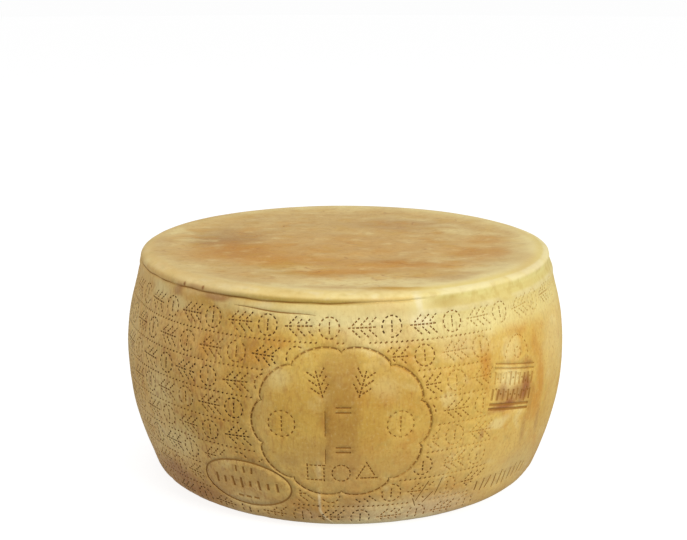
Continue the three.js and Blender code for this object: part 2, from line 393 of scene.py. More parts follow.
def past_plate(place):
    """About how far a point lies outside the oval."""
    off = place - PLATE
    share = 2 * Vector((off.x / PLATE_WIDTH, off.y / PLATE_TALL)).length
    return (share - 1) * PLATE_TALL / 2


for step in range(PLATE_STEPS):
    inner = [on_plate(step + i, -PLATE_GROOVE / 2) for i in (1, 0)]
    outer = [on_plate(step + i, PLATE_GROOVE / 2) for i in (0, 1)]
    grooves.append((outer + inner, PLATE_WALL, PLATE_DEPTH, 0.26))
for i, tall in enumerate(TALL_BARS):
    bar = PLATE + Vector((TALL_BAR_PITCH * (i - 3.5), -0.5))
    press_bar(bar, tall, 2.5, 90 - wobble(i, 22), 0.7, BAR_DEPTH, 0.36)
for i in range(SMALL_BARS):
    upper, lower = PLATE + Vector((8 * (i - 1), 13.5)), PLATE + Vector((8.4 * (i - 1), -14.5))
    press_bar(upper, 6.4, SMALL_BAR_WIDTH, 90 - wobble(i + 9, 16), 0.6, BAR_DEPTH, 0.34)
    press_bar(lower, 5.6, SMALL_BAR_WIDTH, wobble(i + 5, 20), 0.6, BAR_DEPTH, 0.34)


# The stamp at the right was burnt in with a hot iron, a little askew: two rows of bars between rails.
# A faint dome of pins stands on it. Its lower rails and its right end are the most burnt.

STAMP, STAMP_TILT = from_front(43.9, 120), -11.5
STAMP_WIDTH, STAMP_HALF_TALL, STAMP_DEPTH = 55, 21, 0.9
RAILS = ((-19.8, 2.3, 0.4), (-15.6, 2.3, 0.34), (16, 1.2, 0.16), (20, 1.2, 0.2))  # rise, thickness, tone
BAND_RISE, BAND_TALL, BAND_PROUD = 18, 2.3, 0.5  # the paste between the upper rails
BAR_ROWS, BAR_TALL, BARS, BAR_WIDTH, BAR_WALL = (-7, 7.4), 10.6, 9, 2.6, 0.7
DASH_LONG, DASH_TALL, FAINTEST = 2, 1.8, 0.04
DOME_FOOT, DOME_PINS = 23, 13
DOME_WIDE, DOME_TALL = 16, 22


def on_stamp(across, rise):
    return STAMP + across * heading(STAMP_TILT) + rise * heading(STAMP_TILT + 90)


for rise, tall, tone in RAILS:
    press_bar(on_stamp(0, rise), STAMP_WIDTH, tall, STAMP_TILT, 0.28 * tall, STAMP_DEPTH, tone)
press_bar(on_stamp(0, BAND_RISE), STAMP_WIDTH, BAND_TALL, STAMP_TILT, 0.5, -BAND_PROUD, 0)
BAR_PITCH = (STAMP_WIDTH - BAR_WIDTH) / (BARS - 1)
for row, rise in enumerate(BAR_ROWS):
    for i in range(BARS):
        seed = 31 * row + i
        across = BAR_PITCH * (i - (BARS - 1) / 2)
        tone = 0.14 + 0.14 * smooth_step(i, 4, 8) + 0.1 * (1 - row) + wobble(seed, 0.24)
        tall, lean = BAR_TALL + wobble(seed + 70, 4), STAMP_TILT + 90 + wobble(seed + 90, 16)
        tone = max(tone, FAINTEST)
        press_bar(on_stamp(across, rise), tall, BAR_WIDTH, lean, BAR_WALL, STAMP_DEPTH, tone)
        if i < BARS - 1:
            dash = on_stamp(across + BAR_PITCH / 2, rise + wobble(seed + 50, 9))
            press_bar(dash, DASH_LONG, DASH_TALL, STAMP_TILT, 0.5, STAMP_DEPTH, tone)
for i in range(DOME_PINS):
    out = heading(180 * (i + 0.5) / DOME_PINS)
    lean = math.degrees(math.atan2(out.x * DOME_TALL, -out.y * DOME_WIDE))
    press_pin(on_stamp(out.x * DOME_WIDE, DOME_FOOT + out.y * DOME_TALL), lean + STAMP_TILT, 0.12)
press_ring(on_stamp(0, DOME_FOOT + 7), 4.5, 6, 0.12)


def past_stamp(place):
    off = place - STAMP
    off = Vector((off.dot(heading(STAMP_TILT)), off.dot(heading(STAMP_TILT + 90))))
    body = max(abs(off.x) - STAMP_WIDTH / 2, abs(off.y) - STAMP_HALF_TALL)
    dome = Vector((off.x / DOME_WIDE, (off.y - DOME_FOOT) / DOME_TALL)).length - 1
    return min(body, dome * DOME_WIDE)


# The tally of the batch at the lower right: leaning strokes, and a few scratches beside them.

TALLY = from_front(46.1, 29.5)
STROKES, STROKE_PITCH, STROKE_TALL, STROKE_WIDTH, STROKE_DEPTH = 10, 8.2, 13, 1.4, 0.8
STROKE_LEAN = 76
SCRATCHES = ((19.4, 38, 62, 22), (21.2, 30.5, 48, 14), (23.8, 40, 74, 18), (17.6, 27, 112, 9))

for i in range(STROKES):
    place = TALLY + Vector((STROKE_PITCH * (i - (STROKES - 1) / 2) + wobble(i, 2), wobble(i + 20, 3)))
    lean = STROKE_LEAN + wobble(i + 40, 24)
    press_bar(place, STROKE_TALL + wobble(i + 60, 7), STROKE_WIDTH, lean, 0.4, STROKE_DEPTH, 0.34)
scratches = []
for degrees, height, lean, length in SCRATCHES:
    place = from_front(degrees, height)
    press_bar(place, length, 0.8, lean, 0.25, 0.5, 0.62)
    scratches.append((place, lean, length))


def past_tally(place):
    off = place - TALLY
    clear = max(abs(off.x) - STROKES * STROKE_PITCH / 2, abs(off.y) - 0.62 * STROKE_TALL)
    for middle, lean, length in scratches:
        off = place - middle
        along = abs(off.dot(heading(lean)))
        clear = min(clear, math.hypot(max(along - length / 2, 0), off.dot(heading(lean + 90))))
    return clear


# The seam of the mould's band, and the shallow second line under the lip, are long thin cuts.
# The seam shows in two short stretches. The line leaves the crease, sinks away from it and fades.

SEAM_PLACE, SEAM_WIDTH, SEAM_DEPTH = from_front(-4.6, 0).x, 0.9, 0.6
SEAM_STRETCHES = ((96, 119), (70, 84))
LINE_STRETCHES = ((-28, -7), (124, 150), (-160, -120), (-95, -78))

for low, high in SEAM_STRETCHES:
    press_bar(Vector((SEAM_PLACE, (low + high) / 2)), high - low, SEAM_WIDTH, 90, 0.3, SEAM_DEPTH, 0.16)


def second_line(degrees, start, end):
    """The second line's height: it leaves the crease at one end and sinks away from it."""
    share = (degrees - start) / (end - start)
    return 199.6 - 3.2 * share + 0.35 * math.sin(9 * share)


for start, end in LINE_STRETCHES:
    steps = round((end - start) * 3.6 / BEND_STEP)
    spine = [start + (end - start) * i / steps for i in range(steps + 1)]
    half = [0.12 + 0.5 * math.sin(math.pi * i / steps) for i in range(steps + 1)]
    spine = [from_front(d, second_line(d, start, end)) for d in spine]
    lower = [p - Vector((0, h)) for p, h in zip(spine, half)]
    upper = [p + Vector((0, h)) for p, h in zip(spine, half)]
    press(lower + upper[::-1], 0.22, 0.3, 0.42)


def past_lines(place):
    """How far a point lies from the seam and from the second lines."""
    clear = math.inf
    for low, high in SEAM_STRETCHES:
        clear = min(clear, math.hypot(place.x - SEAM_PLACE, max(low - place.y, place.y - high, 0)))
    degrees = math.degrees(place.x / BULGE_RADIUS)
    for start, end in LINE_STRETCHES:
        if start - 1 < degrees < end + 1:
            clear = min(clear, abs(place.y - second_line(degrees, start, end)))
    return clear


# The rows of small marks all round the wheel: rings and lying ears of wheat, turn about, and a rope
# line between each two rows. They come from the pins in the mould's band, so they stop at a larger mark,
# and at the plain panel round the stamp, where the band has no pins.

ROW_TOP, ROW_PITCH, ROWS = 187, 24.6, 8
MARKS_ROUND = 48
HALF_ROUND = math.pi * BULGE_RADIUS
MARK_PITCH = 2 * HALF_ROUND / MARKS_ROUND
RING_RADIUS, RING_PINS, RING_LINE = 8.7, 12, Vector((0, 3.4))
ROPE_PITCH, ROPE_LENGTH, ROPE_LEAN = 4.6, 2.1, 24
PANEL_LEFT, PANEL_RIGHT, PANEL_TOP = 38, 98, 176
LOWEST_PIN = 9.2  # below it the foot curves away
BACK_SEAM = HALF_ROUND - 1  # the sheet's two ends meet here, and no pin crosses them
MEDALLION_CLEAR, PLATE_CLEAR, STAMP_CLEAR, TALLY_CLEAR, LINE_CLEAR = 4.5, 3.5, 4, 2.4, 2.6
WORN_AWAY = 0.52  # a pin is missing where the noise is above this


def row_tone(place):
    """The pins have gone dark brown near the lip at the front, and paler at the right."""
    degrees = math.degrees(place.x / BULGE_RADIUS)
    seen = 1 - smooth_step(abs(degrees), 100, 165)  # behind, all are alike
    tone = 0.52 + 0.04 * smooth_step(place.y, 135, 185) * bell(degrees + 2, 36)
    tone += 0.24 * (1 - smooth_step(degrees, -34, -10)) * seen
    tone -= 0.38 * smooth_step(degrees, 8, 38) * seen
    tone += 0.5 * noise.noise(on_barrel(place.x / BULGE_RADIUS, place.y) / 34)
    return min(max(tone + wobble(place.x + place.y, 0.3), 0.12), 1)


large_marks = len(pits)
for row in range(ROWS):
    for i in range(MARKS_ROUND):
        seed = row * MARKS_ROUND + i
        middle = Vector(((i + 0.5) * MARK_PITCH - HALF_ROUND, ROW_TOP - row * ROW_PITCH))
        middle += Vector((wobble(seed, 1.6), wobble(seed + 500, 0.9)))
        tone = row_tone(middle)
        if (row + i) % 2:
            press_ring(middle, RING_RADIUS, RING_PINS, tone, wobble(seed, 30), 360 + wobble(seed, 30))
            press_line(middle - RING_LINE, middle + RING_LINE, tone)
        else:
            press_ear(middle, wobble(seed, 7), tone)
for row in range(ROWS - 1):
    for i in range(round(2 * HALF_ROUND / ROPE_PITCH) - 1):
        place = Vector(((i + 1) * ROPE_PITCH - HALF_ROUND, ROW_TOP - (row + 0.5) * ROW_PITCH))
        press_pin(place, ROPE_LEAN, 0.8 * row_tone(place), ROPE_LENGTH)


def in_panel(place):
    return PANEL_LEFT < math.degrees(place.x / BULGE_RADIUS) < PANEL_RIGHT and place.y < PANEL_TOP


def clear_of_large_marks(outline):
    middle = sum(outline, Vector((0, 0))) / len(outline)
    return (
        all(point.y > LOWEST_PIN and abs(point.x) < BACK_SEAM for point in outline)
        and past_medallion(middle) > MEDALLION_CLEAR
        and past_plate(middle) > PLATE_CLEAR
        and past_stamp(middle) > STAMP_CLEAR
        and past_tally(middle) > TALLY_CLEAR
        and past_lines(middle) > LINE_CLEAR
        and not in_panel(middle)
        and noise.noise(Vector((middle.x, middle.y, 40)) * 0.9) < WORN_AWAY
    )


pits[large_marks:] = [pit for pit in pits[large_marks:] if clear_of_large_marks(pit[0])]


# The side of the wheel, as a flat sheet with every mark in it. A triangulation threads one skin
# through all the pits' outlines, and each pit is then inset and sunk.

COLUMNS = 264
SHEET_LOW, SHEET_HIGH = 8.0, 201.0
SHEET_ROWS = 39
FILL_PITCH = 5.2
FILL_CLEARANCE = 2.4

points = []
for i in range(COLUMNS + 1):
    x = HALF_ROUND * (2 * i / COLUMNS - 1)
    points += [Vector((x, SHEET_LOW)), Vector((x, SHEET_HIGH))]
for i in range(1, SHEET_ROWS):
    y = SHEET_LOW + (SHEET_HIGH - SHEET_LOW) * i / SHEET_ROWS
    points += [Vector((-HALF_ROUND, y)), Vector((HALF_ROUND, y))]

outlines = [groove[0] for groove in grooves] + [pit[0] for pit in pits]
corners = []
for outline in outlines:
    corners.append(list(range(len(points), len(points) + len(outline))))
    points += outline


def add_where_clear(candidates):
    """Adds the points that lie clear of every mark and of the points added before."""
    near = kdtree.KDTree(len(points))
    for i, point in enumerate(points):
        near.insert((*point, 0), i)
    near.balance()
    points.extend([p for p in candidates if near.find((*p, 0))[2] > FILL_CLEARANCE])


RIDGE_ROWS = (-3.4, -1.7, 0, 1.7, 3.4)  # across the narrow ridge at the right
ridge = [(degrees, ridge_line(math.radians(degrees))) for degrees in range(14, 116)]
add_where_clear([from_front(degrees, height + rise) for degrees, height in ridge for rise in RIDGE_ROWS])
fill = []
for row in range(1, int((SHEET_HIGH - SHEET_LOW) / (FILL_PITCH * 0.866)) + 1):
    for i in range(int(2 * HALF_ROUND / FILL_PITCH)):
        x = -HALF_ROUND + (i + 0.5 * (row % 2) + 0.5) * FILL_PITCH
        fill.append(Vector((x, SHEET_LOW + row * FILL_PITCH * 0.866)))
add_where_clear(fill)

skin_points, _, skin_faces, _, _, owners = delaunay_2d_cdt(points, [], corners, 0, 0.001)
sheet = bmesh.new()
shade = sheet.loops.layers.float.new("shade")
sunk_tone = sheet.verts.layers.float.new("sunk_tone")
skin_verts = [sheet.verts.new((*point, 0)) for point in skin_points]
faces_of = [[] for _ in outlines]
for face_corners, owned_by in zip(skin_faces, owners):
    face = sheet.faces.new([skin_verts[i] for i in face_corners])
    face.smooth = True
    for owner in owned_by:
        faces_of[owner].append(face)


def sink(group, first):
    """Insets a group of pits by their wall, sinks their floors, and tones their walls and floors."""
    for wall in sorted({pit[1] for pit in group}):
        floors = [f for i, pit in enumerate(group) if pit[1] == wall for f in faces_of[first + i]]
        made = bmesh.ops.inset_region(sheet, faces=floors, thickness=wall, use_even_offset=True)
        for i, (_, its_wall, depth, tone) in enumerate(group):
            if its_wall != wall:
                continue
            for face in faces_of[first + i]:
                for vert in face.verts:
                    vert.co.z = -depth
                    vert[sunk_tone] = tone
                for loop in face.loops:
                    loop[shade] = tone
                face.smooth = False
        for face in made["faces"]:
            tone = max(vert[sunk_tone] for vert in face.verts)
            for loop in face.loops:
                loop[shade] = tone * (0.95 if loop.vert.co.z < 0 else 0.8)
            face.smooth = False


sink(grooves, 0)
sink(pits, len(grooves))


# The sheet is rolled up round the barrel. The paste that the medallion's groove pushed up stands
# proud beside it, and so does the ridge at the foot of the seam.

RIDGE_RISE, RIDGE_SPREAD, RIDGE_LOW, RIDGE_HIGH = 1.2, 2, 9, 46


def ridge_place(z):
    return from_front(-6.4 + 5 * smooth_step(z, 24, -3), 0).x


def proud(x, z):
    beside = bell(abs(past_medallion(Vector((x, z)))) - 0.6 * GROOVE_WIDTH, 1.6)
    ridge = bell(x - ridge_place(z), RIDGE_SPREAD) * (1 - smooth_step(z, 34, RIDGE_HIGH))
    return RIM_RISE * beside + RIDGE_RISE * ridge * smooth_step(z, 0, RIDGE_LOW)


def rolled(x, z, out):
    turn = x / BULGE_RADIUS
    radius = side_radius(turn, z) + out + (0 if out < 0 else proud(x, z))
    return Vector((radius * math.sin(turn), -radius * math.cos(turn), z))


wheel = sheet
for vert in wheel.verts:
    vert.co = rolled(*vert.co)
rolled_up = set(wheel.verts)


# The lip, the top face, the foot and the base are turned, and then moved to the uneven surface.
# The rows of points under the lip follow the crease up and down.

LIP_ROWS = (202.4, 203.6, 204.4, 205.0, 205.4, 205.75, 206.0, 206.3, 206.7, 207.3, 208.2)
LIP_ROUND_STEPS = 7
TOP_RINGS, BASE_RINGS = 34, 12
FOOT_STEPS = 5
WANDER_FROM, WANDER_TO, WANDER_END = 204.4, 208.2, 213  # heights where the rows follow the crease
# how dark the crease's bed is painted: a painted shade under the overhanging lip
CREASE_PAINTED_SHADE = 0.62
MERGE_DISTANCE = 0.02

lip_profile = [(barrel_radius(z), z) for z in (SHEET_HIGH, *LIP_ROWS)]
for i in range(LIP_ROUND_STEPS):
    z = HEIGHT - LIP_HEIGHT * (1 - math.sin(math.pi / 2 * i / LIP_ROUND_STEPS))
    lip_profile.append((barrel_radius(z), z))
lip_radius = barrel_radius(HEIGHT)
lip_profile += [(lip_radius * (1 - i / TOP_RINGS), HEIGHT) for i in range(TOP_RINGS + 1)]

foot_radius = barrel_radius(0)
foot_profile = [(foot_radius * i / BASE_RINGS, 0) for i in range(BASE_RINGS)]
for i in range(FOOT_STEPS):
    z = SHEET_LOW * (1 - math.cos(math.pi / 2 * i / FOOT_STEPS))
    foot_profile.append((barrel_radius(z), z))
foot_profile.append((barrel_radius(SHEET_LOW), SHEET_LOW))

for profile in (lip_profile, foot_profile):
    path = [wheel.verts.new((radius, 0, z)) for radius, z in profile]
    links = [wheel.edges.new(pair) for pair in zip(path, path[1:])]
    around = {"cent": (0, 0, 0), "axis": (0, 0, 1), "angle": 2 * math.pi, "use_merge": True}
    bmesh.ops.spin(wheel, geom=path + links, steps=COLUMNS, **around)


def settled(vert):
    """A turned point's place on the uneven surface, and the painted shade of the crease there, darkest
    where it lies deepest in the crease's bed.
    """
    radius, turn, z = math.hypot(vert.co.x, vert.co.y), math.atan2(vert.co.x, -vert.co.y), vert.co.z
    if z > HEIGHT - 0.001:
        edge = side_radius(turn, HEIGHT) * radius / lip_radius
        return Vector((edge * math.sin(turn), -edge * math.cos(turn), HEIGHT - top_dip(radius, turn))), 0
    if z < 0.001:
        return vert.co, 0
    follow = smooth_step(z, SHEET_HIGH, WANDER_FROM) * (1 - smooth_step(z, WANDER_TO, WANDER_END))
    z += crease_wander(turn) * follow
    valley = first_crease(turn, z) * bell(z - CREASE_HEIGHT - crease_wander(turn), 0.5)
    degrees = math.degrees(turn)
    fading = 1 - 0.85 * smooth_step(degrees, -2, 8) * (1 - smooth_step(degrees, 40, 80))
    ragged = 0.8 + 0.9 * noise.noise(on_barrel(turn, 0) / 21)
    return rolled(turn * BULGE_RADIUS, z, 0), CREASE_PAINTED_SHADE * valley * fading * ragged


for vert in wheel.verts:
    if vert not in rolled_up:
        vert.co, vert[sunk_tone] = settled(vert)
# the turned faces take their shade from it, which paints the shade in the crease under the lip
for face in wheel.faces:
    if not any(vert in rolled_up for vert in face.verts):
        face.smooth = True
        for loop in face.loops:
            loop[shade] = loop.vert[sunk_tone]

bmesh.ops.remove_doubles(wheel, verts=wheel.verts, dist=MERGE_DISTANCE)
bmesh.ops.recalc_face_normals(wheel, faces=wheel.faces)
spread = [[side([v.co[axis] for v in wheel.verts]) for side in (min, max)] for axis in (0, 1)]
middle = Vector((sum(spread[0]) / 2, sum(spread[1]) / 2, 0))
bmesh.ops.translate(wheel, verts=wheel.verts, vec=-middle)
bmesh.ops.scale(wheel, verts=wheel.verts, vec=(MILLIMETRE,) * 3)

rind = bpy.data.objects.new("rind", bpy.data.meshes.new("rind"))
wheel.to_mesh(rind.data)
wheel.free()
bpy.context.collection.objects.link(rind)


# The finish of the rind: oiled and rubbed while it aged, straw yellow to ochre, with orange-brown
# patches, a paler lip, a tan top and dark pits.


class Flow:
    """A value or colour in a material. Sums written on it become Math nodes."""

    def __init__(self, tree, socket=None):
        self.tree, self.socket = tree, socket

    def node(self, kind, settings=None, values=None, output=0):
        made = self.tree.nodes.new("ShaderNode" + kind)
        for name, setting in (settings or {}).items():
            setattr(made, name, setting)
        for name, value in (values or {}).items():
            if isinstance(value, Flow):
                self.tree.links.new(value.socket, made.inputs[name])
            else:
                made.inputs[name].default_value = value
        return Flow(self.tree, made.outputs[output])

    def maths(self, operation, *values):
        return self.node("Math", {"operation": operation}, dict(enumerate(values)))

    def __add__(self, other):
        return self.maths("ADD", self, other)

    def __sub__(self, other):
        return self.maths("SUBTRACT", self, other)

    def __rsub__(self, other):
        return self.maths("SUBTRACT", other, self)

    def __mul__(self, other):
        return self.maths("MULTIPLY", self, other)

    __radd__, __rmul__ = __add__, __mul__

    def ramp(self, start, end):
        """0 at start, 1 at end, with soft ends."""
        values = {"Value": self, "From Min": start, "From Max": end}
        return self.node("MapRange", {"interpolation_type": "SMOOTHSTEP"}, values)

    def over(self, colour, share):
        """This colour with another laid over it by a share."""
        values = {"Factor": share, 6: self, 7: colour}
        return self.node("Mix", {"data_type": "RGBA"}, values, 2)

    def along(self, operation, other):
        """A Vector Math node on this vector."""
        key = "Scale" if operation == "SCALE" else 1
        return self.node("VectorMath", {"operation": operation}, {0: self, key: other})

    def grain(self, size, detail=2, stretch=(1, 1, 1), output="Fac"):
        """Noise from 0 to 1 with features of about that many millimetres."""
        scale = tuple(s / (size * MILLIMETRE) for s in stretch)
        values = {"Vector": self.along("MULTIPLY", scale), "Scale": 1.0, "Detail": detail}
        return self.node("TexNoise", {}, values, output)


def srgb(red, green, blue):
    shares = [c / 255 for c in (red, green, blue)]
    return (*[c / 12.92 if c < 0.04045 else ((c + 0.055) / 1.055) ** 2.4 for c in shares], 1)


STRAW, YELLOW, OLIVE = srgb(218, 181, 88), srgb(224, 210, 134), srgb(186, 156, 74)
CREAM, PALE, TAN, SAND = srgb(238, 222, 158), srgb(238, 226, 184), srgb(206, 172, 108), srgb(216, 170, 94)
OCHRE, ORANGE, RUST = srgb(196, 152, 62), srgb(198, 136, 42), srgb(150, 86, 44)
BROWN, CLAY = srgb(148, 96, 40), srgb(166, 112, 58)
INK, PIT = srgb(158, 108, 38), srgb(84, 50, 8)  # the walls and beds of the marks
SMALL_STAIN = 4.0  # millimetres: a stain this small keeps a plain round outline
DRIFT = 0.016  # how far a stain's outline strays, in metres

rind_paint = bpy.data.materials.new("rind")
rind_paint.use_nodes = True
tree = rind_paint.node_tree
flow = Flow(tree)
place = flow.node("TexCoord", output="Object")
x, y, z = [place.node("SeparateXYZ", {}, {"Vector": place}, i) for i in range(3)]
x, y, z = [axis * (1 / MILLIMETRE) for axis in (x, y, z)]
from_axis = flow.maths("SQRT", x * x + y * y)
degrees_round = flow.maths("ARCTAN2", x, y * -1) * math.degrees(1)

drift = place.grain(24, 3, output="Color").along("SUBTRACT", (0.5, 0.5, 0.5)).along("SCALE", DRIFT)
warped = place.along("ADD", drift)


def patch(where, reach):
    """A soft stain round a point, with a ragged outline: 1 inside, 0 past its reach each way."""
    scale = tuple(1 / (r * MILLIMETRE) for r in reach)
    start = warped if min(reach) > SMALL_STAIN else place
    off = start.along("SUBTRACT", where).along("MULTIPLY", scale)
    return off.node("VectorMath", {"operation": "LENGTH"}, {0: off}, 1).ramp(1.15, 0.25)


def on_side(degrees, height):
    return MILLIMETRE * rolled(math.radians(degrees) * BULGE_RADIUS, height, 0)


def on_face(across, along):
    """A place on the top face, given in millimetres from its middle."""
    return Vector((across, along, HEIGHT)) * MILLIMETRE


def between(value, low, high, soft):
    """1 from low to high, falling to 0 outside within a soft margin."""
    return value.ramp(low - soft, low) * value.ramp(high + soft, high)


# where the top face, the lip and the plainer right side lie
on_top = from_axis.ramp(189, 177) * z.ramp(205, 209)
on_lip = z.ramp(208, 211.6) * (1 - on_top)
at_right = between(degrees_round, 20, 96, 6)

# the unevenness of the colour, from broad to fine
cloud = place.grain(70, 4)
mottle = place.grain(22, 4)
blotch = place.grain(8, 4)
speck = place.grain(2.4, 4)
fibre = place.grain(1.5, 3, (1, 1, 0.16))
weave = place.grain(2.6, 3, (1, 1, 0.34))

side = flow.node("RGB")
side.socket.default_value = STRAW
side = side.over(SAND, x.ramp(-30, -150) * 0.85)
side = side.over(OCHRE, cloud.ramp(0.4, 0.66) * 0.85)
side = side.over(ORANGE, mottle.ramp(0.52, 0.76) * 0.55)
side = side.over(CREAM, mottle.ramp(0.44, 0.24) * 0.35)
side = side.over(OLIVE, blotch.ramp(0.46, 0.28) * 0.5)
# painted light: the far left of the side is made paler, to lift the side that the main lamp leaves darker
side = side.over(CREAM, x.ramp(-120, -180) * 0.2)
side = side.over(ORANGE, blotch.ramp(0.54, 0.74) * 0.3)

# Each stain: its colour, how strong, how many degrees round from the front and how high, and its reach.
STAINS = (
    (CREAM, 0.66, 2, 191, (78, 50, 13)),
    (CREAM, 0.66, 34, 186, (60, 60, 13)),
    (CREAM, 0.5, 8, 177, (44, 30, 12)),
    (CREAM, 0.5, -56, 197, (24, 24, 12)),
    (CREAM, 0.5, -20, 199, (62, 40, 8)),
    (CREAM, 0.4, -46, 192, (16, 16, 9)),
    (CREAM, 0.5, 22, 188, (30, 22, 16)),
    (ORANGE, 0.5, -22, 161, (20, 16, 16)),
    (ORANGE, 0.5, -35, 163, (14, 12, 14)),
    (ORANGE, 0.45, -16, 174, (12, 10, 8)),
    (BROWN, 0.25, -31, 169, (14, 12, 9)),
    (ORANGE, 0.75, 34.5, 146, (10, 10, 18)),
    (RUST, 0.55, 34.2, 83, (5, 5, 9)),
    (ORANGE, 0.5, 46, 171, (20, 20, 8)),
    (ORANGE, 0.5, 53.5, 152, (9, 9, 22)),
    (ORANGE, 0.7, 55.5, 116, (10, 10, 38)),
    (CREAM, 0.35, 45, 155, (9, 9, 15)),
    (CREAM, 0.2, 43, 122, (27, 27, 27)),
    (CREAM, 0.6, 42, 128, (17, 17, 13)),
    (RUST, 0.85, 41, 104.5, (20, 20, 6.5)),
    (RUST, 0.6, 39.5, 117, (8, 8, 10)),
    (RUST, 0.5, 45, 111, (20, 20, 12)),
    (RUST, 0.85, 48.5, 116, (10, 10, 18)),
    (RUST, 0.4, 49.5, 138, (11, 11, 7)),
    (CREAM, 0.4, 42, 153, (8, 8, 16)),
    (CREAM, 0.45, 39.5, 91, (16, 16, 6)),
    (CREAM, 0.15, 46, 96, (18, 18, 8)),
    (BROWN, 0.3, 51.5, 108, (8, 8, 26)),
    (BROWN, 0.3, -8, 84, (22, 14, 16)),
    (BROWN, 0.2, -23, 168, (9, 8, 9)),
    (CREAM, 0.3, 19, 177, (20, 14, 8)),
    (CLAY, 0.2, 23, 64, (20, 20, 14)),
    (CLAY, 0.2, 48, 44, (16, 16, 14)),
    (OLIVE, 0.35, 52, 42, (26, 26, 20)),
    (OCHRE, 0.25, -10, 184, (16, 12, 8)),
    (CLAY, 0.22, -3, 66, (38, 30, 44)),
    (BROWN, 0.4, 50, 72, (4, 6, 27)),
    (BROWN, 0.35, 57, 74, (5, 5, 24)),
    (BROWN, 0.45, -13, 71, (13, 13, 9)),
    (BROWN, 0.4, 3, 30, (20, 12, 16)),
    (PALE, 0.3, -6.3, 62, (3, 3, 40)),
    (PALE, 0.35, -9.5, 14, (12, 8, 10)),
    (RUST, 0.2, -28, 40, (44, 38, 20)),
    (RUST, 0.55, -52, 30, (30, 46, 13)),
    (RUST, 0.4, -38, 18, (40, 40, 9)),
    (CREAM, 0.25, -46, 74, (34, 44, 28)),
    (CREAM, 0.25, -47, 64, (26, 30, 20)),
    (SAND, 0.5, -51, 104, (34, 44, 34)),
    (CREAM, 0.45, -52, 108, (26, 34, 30)),
    (CREAM, 0.25, -20, 112, (16, 16, 50)),
    (CREAM, 0.35, -16, 146, (14, 14, 16)),
    (CREAM, 0.25, 9, 138, (18, 14, 16)),
    (OCHRE, 0.3, 25, 177, (34, 34, 14)),
    (CLAY, 0.15, 24, 92, (24, 24, 34)),
    (CLAY, 0.3, -21, 55, (18, 18, 14)),
    (CREAM, 0.3, 28, 164, (26, 26, 12)),
    (CREAM, 0.25, 70, 160, (44, 70, 44)),
    (CREAM, 0.25, -76, 140, (30, 50, 40)),
    (OCHRE, 0.35, 11, 154, (30, 20, 12)),
    (CREAM, 0.2, -14, 146, (14, 12, 12)),
    (TAN, 0.35, 27, 169, (24, 22, 13)),
    (CREAM, 0.22, 66, 128, (26, 54, 50)),
    (RUST, 0.6, -33, 203, (24, 14, 5)),
    (RUST, 0.5, -47.2, 202, (9, 9, 5)),
)
EDGE_STAINS = (  # these lie over the bands of colour at the foot and the lip
    (CREAM, 0.7, 9, 5, (84, 40, 10)),
    (PALE, 0.38, 18, 14, (84, 60, 22)),
    (CREAM, 0.3, -27, 12, (44, 34, 13)),
    (SAND, 0.5, -27, 25, (54, 44, 16)),
    (CREAM, 0.3, 11, 26, (34, 24, 16)),
    (CREAM, 0.2, 52, 34, (60, 70, 24)),
    (RUST, 0.18, -46, 20, (54, 70, 17)),
    (PALE, 0.6, 18, 206, (5.5, 5.5, 15)),
    (PALE, 0.2, -38, 209, (60, 60, 8)),
    (PALE, 0.45, 18.5, 190, (12, 12, 8)),
    (OLIVE, 0.4, 25, 203.5, (18, 18, 6)),
    (BROWN, 0.9, -45.1, 208.6, (1.9, 1.9, 3.4)),
    (BROWN, 0.9, -38.3, 209.4, (1.9, 1.9, 3.8)),
    (RUST, 0.3, -41, 208.6, (14, 10, 2.4)),
    (CREAM, 0.3, -26, 24, (36, 24, 11)),
    (OCHRE, 0.4, 12, 214, (34, 10, 5)),
    (TAN, 0.4, 60, 214, (44, 44, 6)),
    (OLIVE, 0.22, 29, 202, (44, 26, 5)),
    (PALE, 0.22, -20, 203, (12, 10, 5)),
    (OCHRE, 0.25, -14, 212, (34, 20, 5)),
)
for colour, share, degrees, height, reach in STAINS:
    side = side.over(colour, patch(on_side(degrees, height), reach) * share)

# the brown streak beside the seam, and the ochre rind to its left
streak_edge = degrees_round + (place.grain(26, 3) - 0.5) * 7
streak = between(streak_edge, -3.6, 1.2, 2.8) * between(z, 96, 124, 74)
side = side.over(BROWN, streak * (0.3 + 0.6 * blotch))
side = side.over(OCHRE, between(streak_edge, -24, 4, 8) * between(z, 60, 130, 30) * 0.4)

# the lower part is paler, the foot is browner, partly painted shade, and the ridge at the foot of the
# seam is pale, partly rubbed and partly a painted highlight
side = side.over(PALE, z.ramp(110, 50) * 0.1)
# painted shade: the foot goes browner and darker down to the base, most at the left and front, where it
# turns down and away from the lamps
side = side.over(CLAY, z.ramp(50, 8) * (0.3 + 0.7 * cloud) * x.ramp(220, 20))
# a painted highlight, partly rubbed pale: a pale line along the ridge at the foot of the seam
band_end = flow.maths("ABSOLUTE", degrees_round + 6.4 - z.ramp(24, -3) * 5)
side = side.over(PALE, band_end.ramp(0.6, 0.05) * between(z, 4, 36, 10) * 0.5)

# the soft valley under the lip at the right is yellow; the narrow ridge at its lower side is painted
# pale, a painted highlight
right_band = at_right * z.ramp(190, 202) * z.ramp(215, 211)
side = side.over(CREAM, at_right * between(z, 180, 197, 14) * 0.4)
side = side.over(YELLOW, at_right * z.ramp(160, 182) * 0.45)
side = side.over(YELLOW, right_band * (0.45 + 0.5 * mottle.ramp(0.3, 0.6)))
side = side.over(OLIVE, at_right * between(z, 197, 203, 3) * 0.25)
side = side.over(OLIVE, right_band * blotch.ramp(0.48, 0.66) * 0.35)
side = side.over(CREAM, between(z, 190, 207, 3) * between(degrees_round, -10, 19, 6) * 0.55)
# a painted highlight: a pale line along the narrow ridge at the valley's lower side
side = side.over(PALE, at_right * between(z, 195.5, 197.5, 3) * mottle.ramp(0.3, 0.5) * 0.28)
